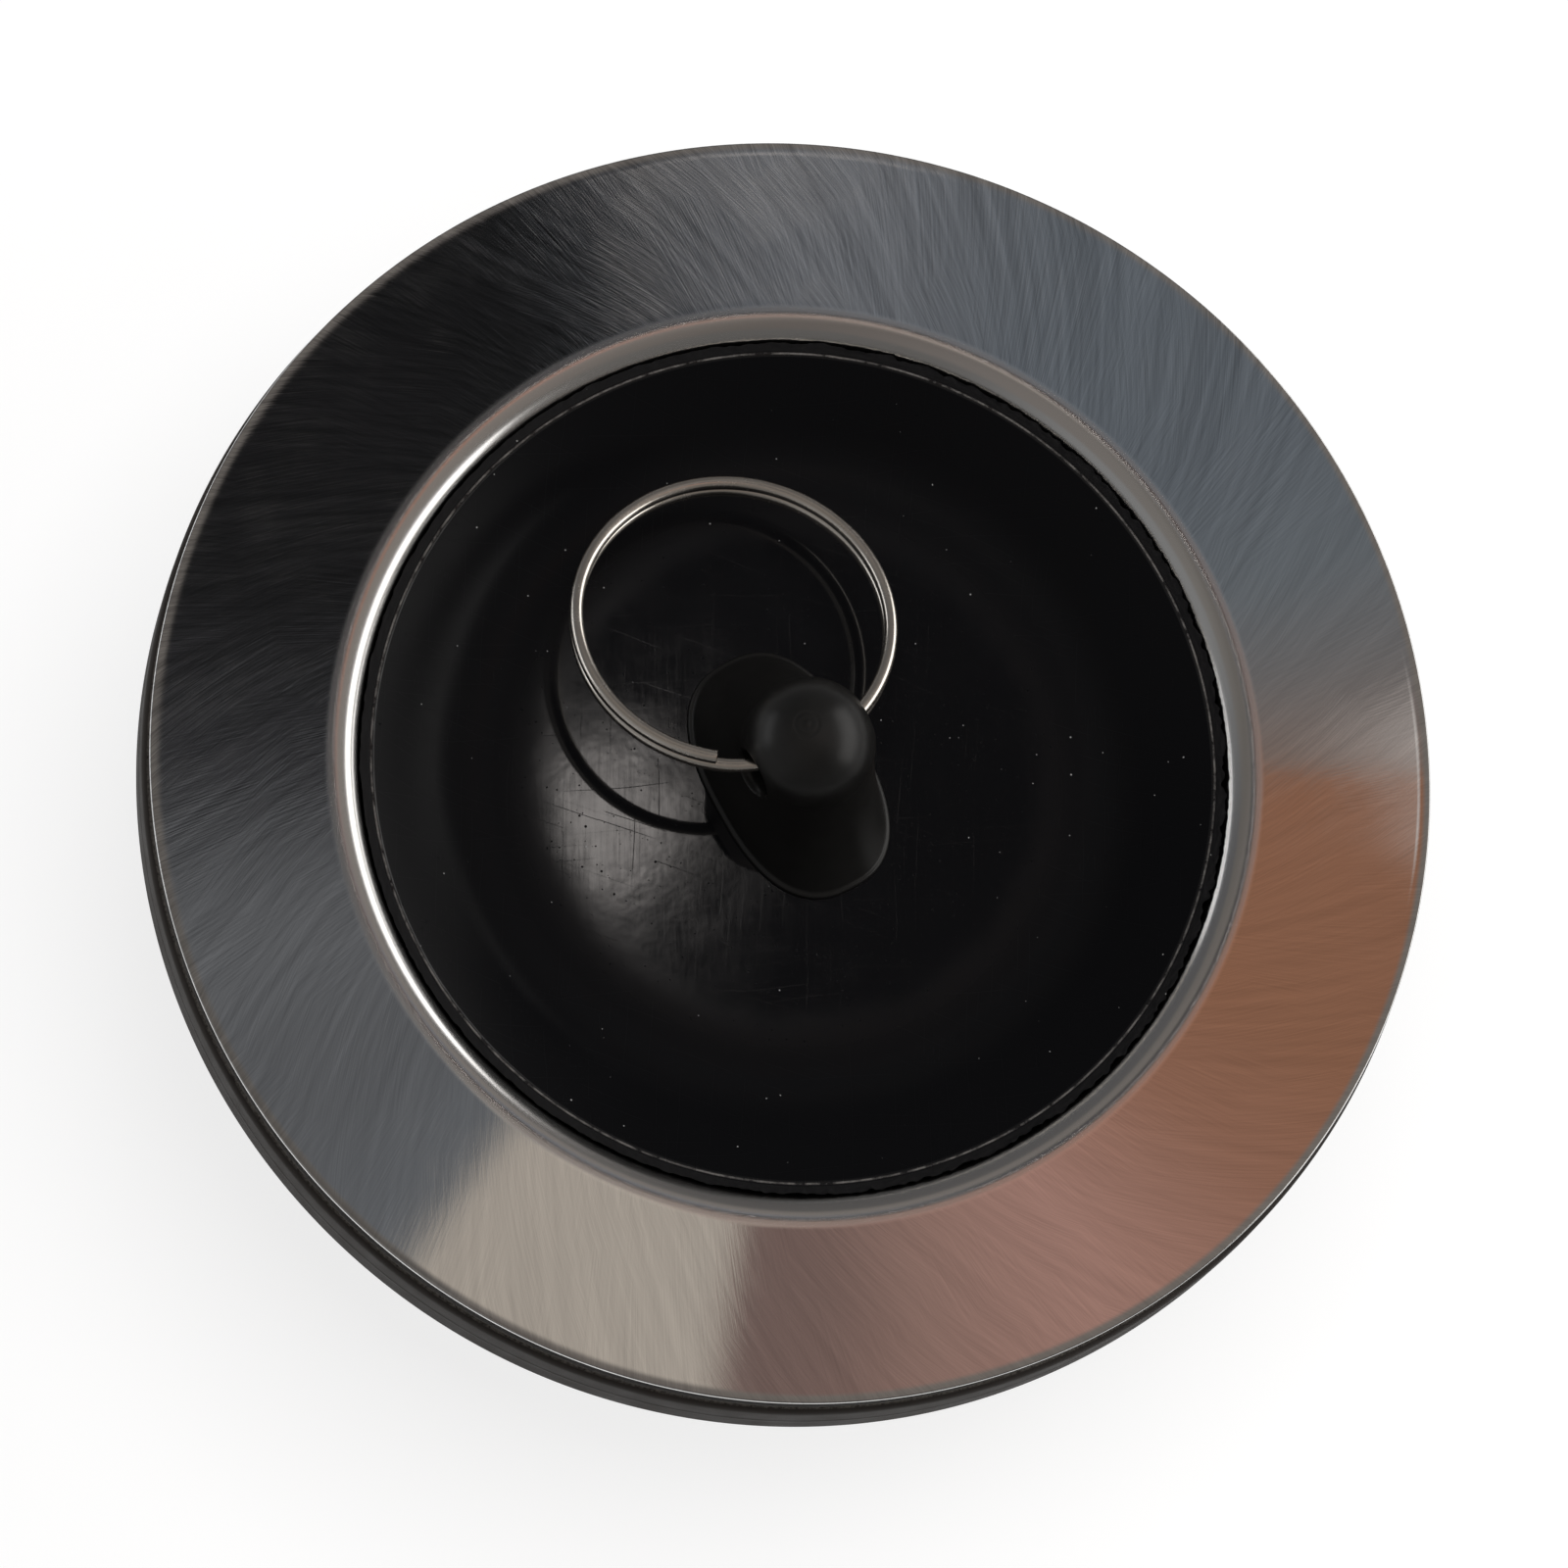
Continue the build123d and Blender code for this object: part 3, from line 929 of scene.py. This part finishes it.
def photo_direction(azimuth, zenith_angle):
    """Direction in the model's frame from an azimuth in the photograph and an angle from the vertical."""
    a, t = math.radians(azimuth - PHOTO_TURN), math.radians(zenith_angle)
    return Vector((math.cos(a) * math.sin(t), math.sin(a) * math.sin(t), math.cos(t)))


def place_camera():
    a = math.radians(CAMERA_AZIMUTH - PHOTO_TURN)
    back = photo_direction(CAMERA_AZIMUTH, CAMERA_TILT)
    level = Vector((-math.sin(a), math.cos(a), 0))
    rise = back.cross(level)
    roll = math.radians(CAMERA_AZIMUTH)
    right = -math.sin(roll) * level - math.cos(roll) * rise
    up = math.cos(roll) * level - math.sin(roll) * rise
    data = bpy.data.cameras.new("camera")
    data.sensor_width = SENSOR
    data.lens = FOCAL
    data.clip_start = 0.01
    camera = bpy.data.objects.new("camera", data)
    bpy.context.scene.collection.objects.link(camera)
    where = Vector((0, 0, FLANGE_TOP)) + back * CAMERA_DISTANCE - right * CAMERA_LEFT - up * CAMERA_DOWN
    rows = [[right[i], up[i], back[i], where[i] * MM] for i in range(3)] + [[0, 0, 0, 1]]
    camera.matrix_world = Matrix(rows)
    bpy.context.scene.camera = camera


place_camera()

# Floor, lamps and studio surroundings


def make_floor():
    """White floor: evenly bright to the camera and in reflections, and plain to the other rays."""
    size = 8.0
    z = (SPIGOT_FOOT - 0.02) * MM
    corners = [(-size, -size, z), (size, -size, z), (size, size, z), (-size, size, z)]
    floor = link_mesh("floor", corners, [(0, 1, 2, 3)])
    material = bpy.data.materials.new("floor_white")
    material.use_nodes = True
    m = Nodes(material.node_tree)
    m.tree.nodes.clear()
    plain = m.add("ShaderNodeBsdfDiffuse")
    plain.inputs["Color"].default_value = (0.6, 0.6, 0.6, 1)
    shaded = m.add("ShaderNodeBsdfDiffuse")
    shaded.inputs["Color"].default_value = (0.3, 0.3, 0.3, 1)
    glow = m.add("ShaderNodeEmission")
    glow.inputs["Strength"].default_value = 0.78
    white = m.add("ShaderNodeAddShader")
    m.link(glow.outputs[0], white.inputs[0])
    m.link(shaded.outputs[0], white.inputs[1])
    ray = m.add("ShaderNodeLightPath").outputs
    seen = m.highest(ray["Is Camera Ray"], ray["Is Glossy Ray"], ray["Is Transmission Ray"])
    mixer = m.add("ShaderNodeMixShader")
    m.link(seen, mixer.inputs[0])
    m.link(plain.outputs[0], mixer.inputs[1])
    m.link(white.outputs[0], mixer.inputs[2])
    out = m.add("ShaderNodeOutputMaterial")
    m.link(mixer.outputs[0], out.inputs["Surface"])
    floor.data.materials.append(material)


def make_card():
    """Low black card in a ring on the floor, which keeps the floor's reflection off the black lug."""
    radius, top, foot = 300.0, 30.0, SPIGOT_FOOT
    verts, faces = [], []
    steps = 60
    for k in range(steps):
        a = 2 * math.pi * k / steps
        for z in (foot, top):
            verts.append((radius * math.cos(a) * MM, radius * math.sin(a) * MM, z * MM))
        after = (k + 1) % steps
        faces.append((2 * k, 2 * after, 2 * after + 1, 2 * k + 1))
    card = link_mesh("black_card", verts, faces)
    card.visible_camera = False
    card.visible_diffuse = False
    card.visible_shadow = False
    finish = Finish("card_black")
    finish.shader.inputs["Base Color"].default_value = (0.03, 0.028, 0.027, 1)
    finish.shader.inputs["Roughness"].default_value = 0.9
    finish.apply(card)


def make_lamp(name, place, size, radiance, colour, shape="RECTANGLE", glossy=True):
    """Area lamp aimed at the object, whose power follows from the radiance of its face.

    place is its azimuth in the photograph, its angle from the vertical and its distance in metres.
    """
    azimuth, zenith_angle, distance = place
    width, height = size
    data = bpy.data.lights.new(name, "AREA")
    data.shape = shape
    data.size = width
    area = math.pi * width * height / 4
    if shape == "RECTANGLE":
        data.size_y = height
        area = width * height
    data.energy = radiance * area * math.pi
    data.color = colour
    lamp = bpy.data.objects.new(name, data)
    bpy.context.scene.collection.objects.link(lamp)
    where = photo_direction(azimuth, zenith_angle) * distance
    lamp.location = where
    lamp.rotation_euler = (-where).to_track_quat("-Z", "Y").to_euler()
    lamp.visible_camera = False
    lamp.visible_glossy = glossy


# Colours round the view that the flat flange mirrors, by the share of a turn
BLUE = (0.15, 0.17, 0.195)
DARK = (0.012, 0.012, 0.013)
BEIGE = (0.55, 0.49, 0.425)
COPPER = (0.345, 0.165, 0.1)
MIRRORED = [
    (0.0, (0.27, 0.2, 0.17)),
    (0.03, (0.2, 0.19, 0.19)),
    (0.06, (0.17, 0.19, 0.21)),
    (0.1, BLUE),
    (0.17, (0.145, 0.165, 0.19)),
    (0.22, (0.19, 0.2, 0.22)),
    (0.26, (0.17, 0.18, 0.2)),
    (0.315, DARK),
    (0.45, (0.015, 0.015, 0.016)),
    (0.5, (0.035, 0.035, 0.038)),
    (0.54, (0.16, 0.165, 0.175)),
    (0.6, (0.14, 0.145, 0.155)),
    (0.641, (0.17, 0.18, 0.195)),
    (0.648, BEIGE),
    (0.727, BEIGE),
    (0.734, (0.22, 0.15, 0.135)),
    (0.76, (0.25, 0.165, 0.145)),
    (0.785, (0.36, 0.225, 0.19)),
    (0.835, (0.5, 0.285, 0.235)),
    (0.885, (0.37, 0.185, 0.125)),
    (0.92, COPPER),
    (0.98, COPPER),
]

# Small glows in that ring of colours: angle, distance from its middle, radius and strength
GLOWS = ((86, 0.184, 0.024, 0.85), (99, 0.184, 0.024, 0.75), (3, 0.182, 0.026, 1.0), (-5, 0.184, 0.022, 0.9))

# Colours of the rest of the room, by the share of a turn about the vertical
CEILING = [
    (0.0, (0.23, 0.205, 0.185)),
    (0.2, (0.21, 0.19, 0.175)),
    (0.42, (0.13, 0.12, 0.11)),
    (0.52, (0.19, 0.178, 0.165)),
    (0.68, (0.19, 0.17, 0.158)),
    (0.8, (0.13, 0.114, 0.104)),
    (1.0, (0.23, 0.205, 0.185)),
]
WALLS = [
    (0.0, (0.16, 0.145, 0.135)),
    (0.12, (0.14, 0.13, 0.125)),
    (0.2, (0.1, 0.095, 0.092)),
    (0.42, (0.1, 0.1, 0.104)),
    (0.52, (0.22, 0.22, 0.22)),
    (0.63, (0.22, 0.22, 0.22)),
    (0.7, (0.13, 0.125, 0.12)),
    (0.8, (0.12, 0.115, 0.11)),
    (1.0, (0.16, 0.145, 0.135)),
]
HORIZON = [
    (0.0, (0.2, 0.2, 0.2)),
    (0.5, (0.2, 0.2, 0.2)),
    (0.54, (0.55, 0.54, 0.53)),
    (0.63, (0.55, 0.54, 0.53)),
    (0.67, (0.18, 0.18, 0.18)),
    (1.0, (0.2, 0.2, 0.2)),
]


def make_world():
    """Room of plain soft colours, which the steel and the gloss of the rubber mirror."""
    world = bpy.data.worlds.new("studio")
    bpy.context.scene.world = world
    world.use_nodes = True
    m = Nodes(world.node_tree)
    m.tree.nodes.clear()
    source = m.add("ShaderNodeTexCoord")
    x, y, z = m.split(m.turned(source.outputs["Generated"], PHOTO_TURN))
    mirror = math.sin(math.radians(CAMERA_TILT))
    toward = math.radians(CAMERA_AZIMUTH + 180)
    dx = m.minus(x, mirror * math.cos(toward))
    dy = m.minus(y, mirror * math.sin(toward))
    near = m.ramp(m.share_of_turn(dx, dy), MIRRORED)
    side = m.share_of_turn(x, y)
    room = m.mix(m.range(z, 0.7, 0.78, smooth=True), m.ramp(side, WALLS), m.ramp(side, CEILING))
    room = m.mix(m.range(z, 0.1, 0.22, 1.0, 0.0, smooth=True), room, m.ramp(side, HORIZON))
    for photo_angle, reach, spread, strength in GLOWS:
        a = math.radians(photo_angle)
        off = m.length(m.minus(dx, reach * math.cos(a)), m.minus(dy, reach * math.sin(a)))
        near = m.mix(m.range(off, 0.0, spread, strength, 0.0, smooth=True), near, (0.72, 0.67, 0.64))
    away = m.length(dx, dy)
    colour = m.mix(m.range(away, 0.07, 0.115, smooth=True), (0.025, 0.024, 0.025), near)
    colour = m.mix(m.range(away, 0.2, 0.25, smooth=True), colour, room)
    colour = m.mix(m.range(z, -0.06, 0.0), (0.3, 0.3, 0.3), colour)
    background = m.add("ShaderNodeBackground")
    m.link(colour, background.inputs["Color"])
    background.inputs["Strength"].default_value = 1.0
    out = m.add("ShaderNodeOutputWorld")
    m.link(background.outputs[0], out.inputs["Surface"])


make_floor()
make_card()
make_world()
make_lamp("softbox_right", (9, 66, 1.3), (1.9, 0.78), 1.7, (1.0, 0.985, 0.96))
make_lamp("softbox_left", (162, 82, 1.3), (1.0, 0.42), 1.3, (0.98, 0.99, 1.0))
make_lamp("overhead_fill", (60, 12, 1.6), (1.2, 1.2), 3.4, (1.0, 1.0, 1.0), glossy=False)
make_lamp("small_lamp", (62.5, 14.1, 2.0), (0.04, 0.04), 5.0, (1.0, 0.93, 0.89), "DISK")
make_lamp("lamp_bloom", (64.0, 13.8, 2.02), (0.085, 0.085), 0.45, (1.0, 0.98, 0.96), "DISK")

bpy.context.scene.view_settings.view_transform = "Standard"
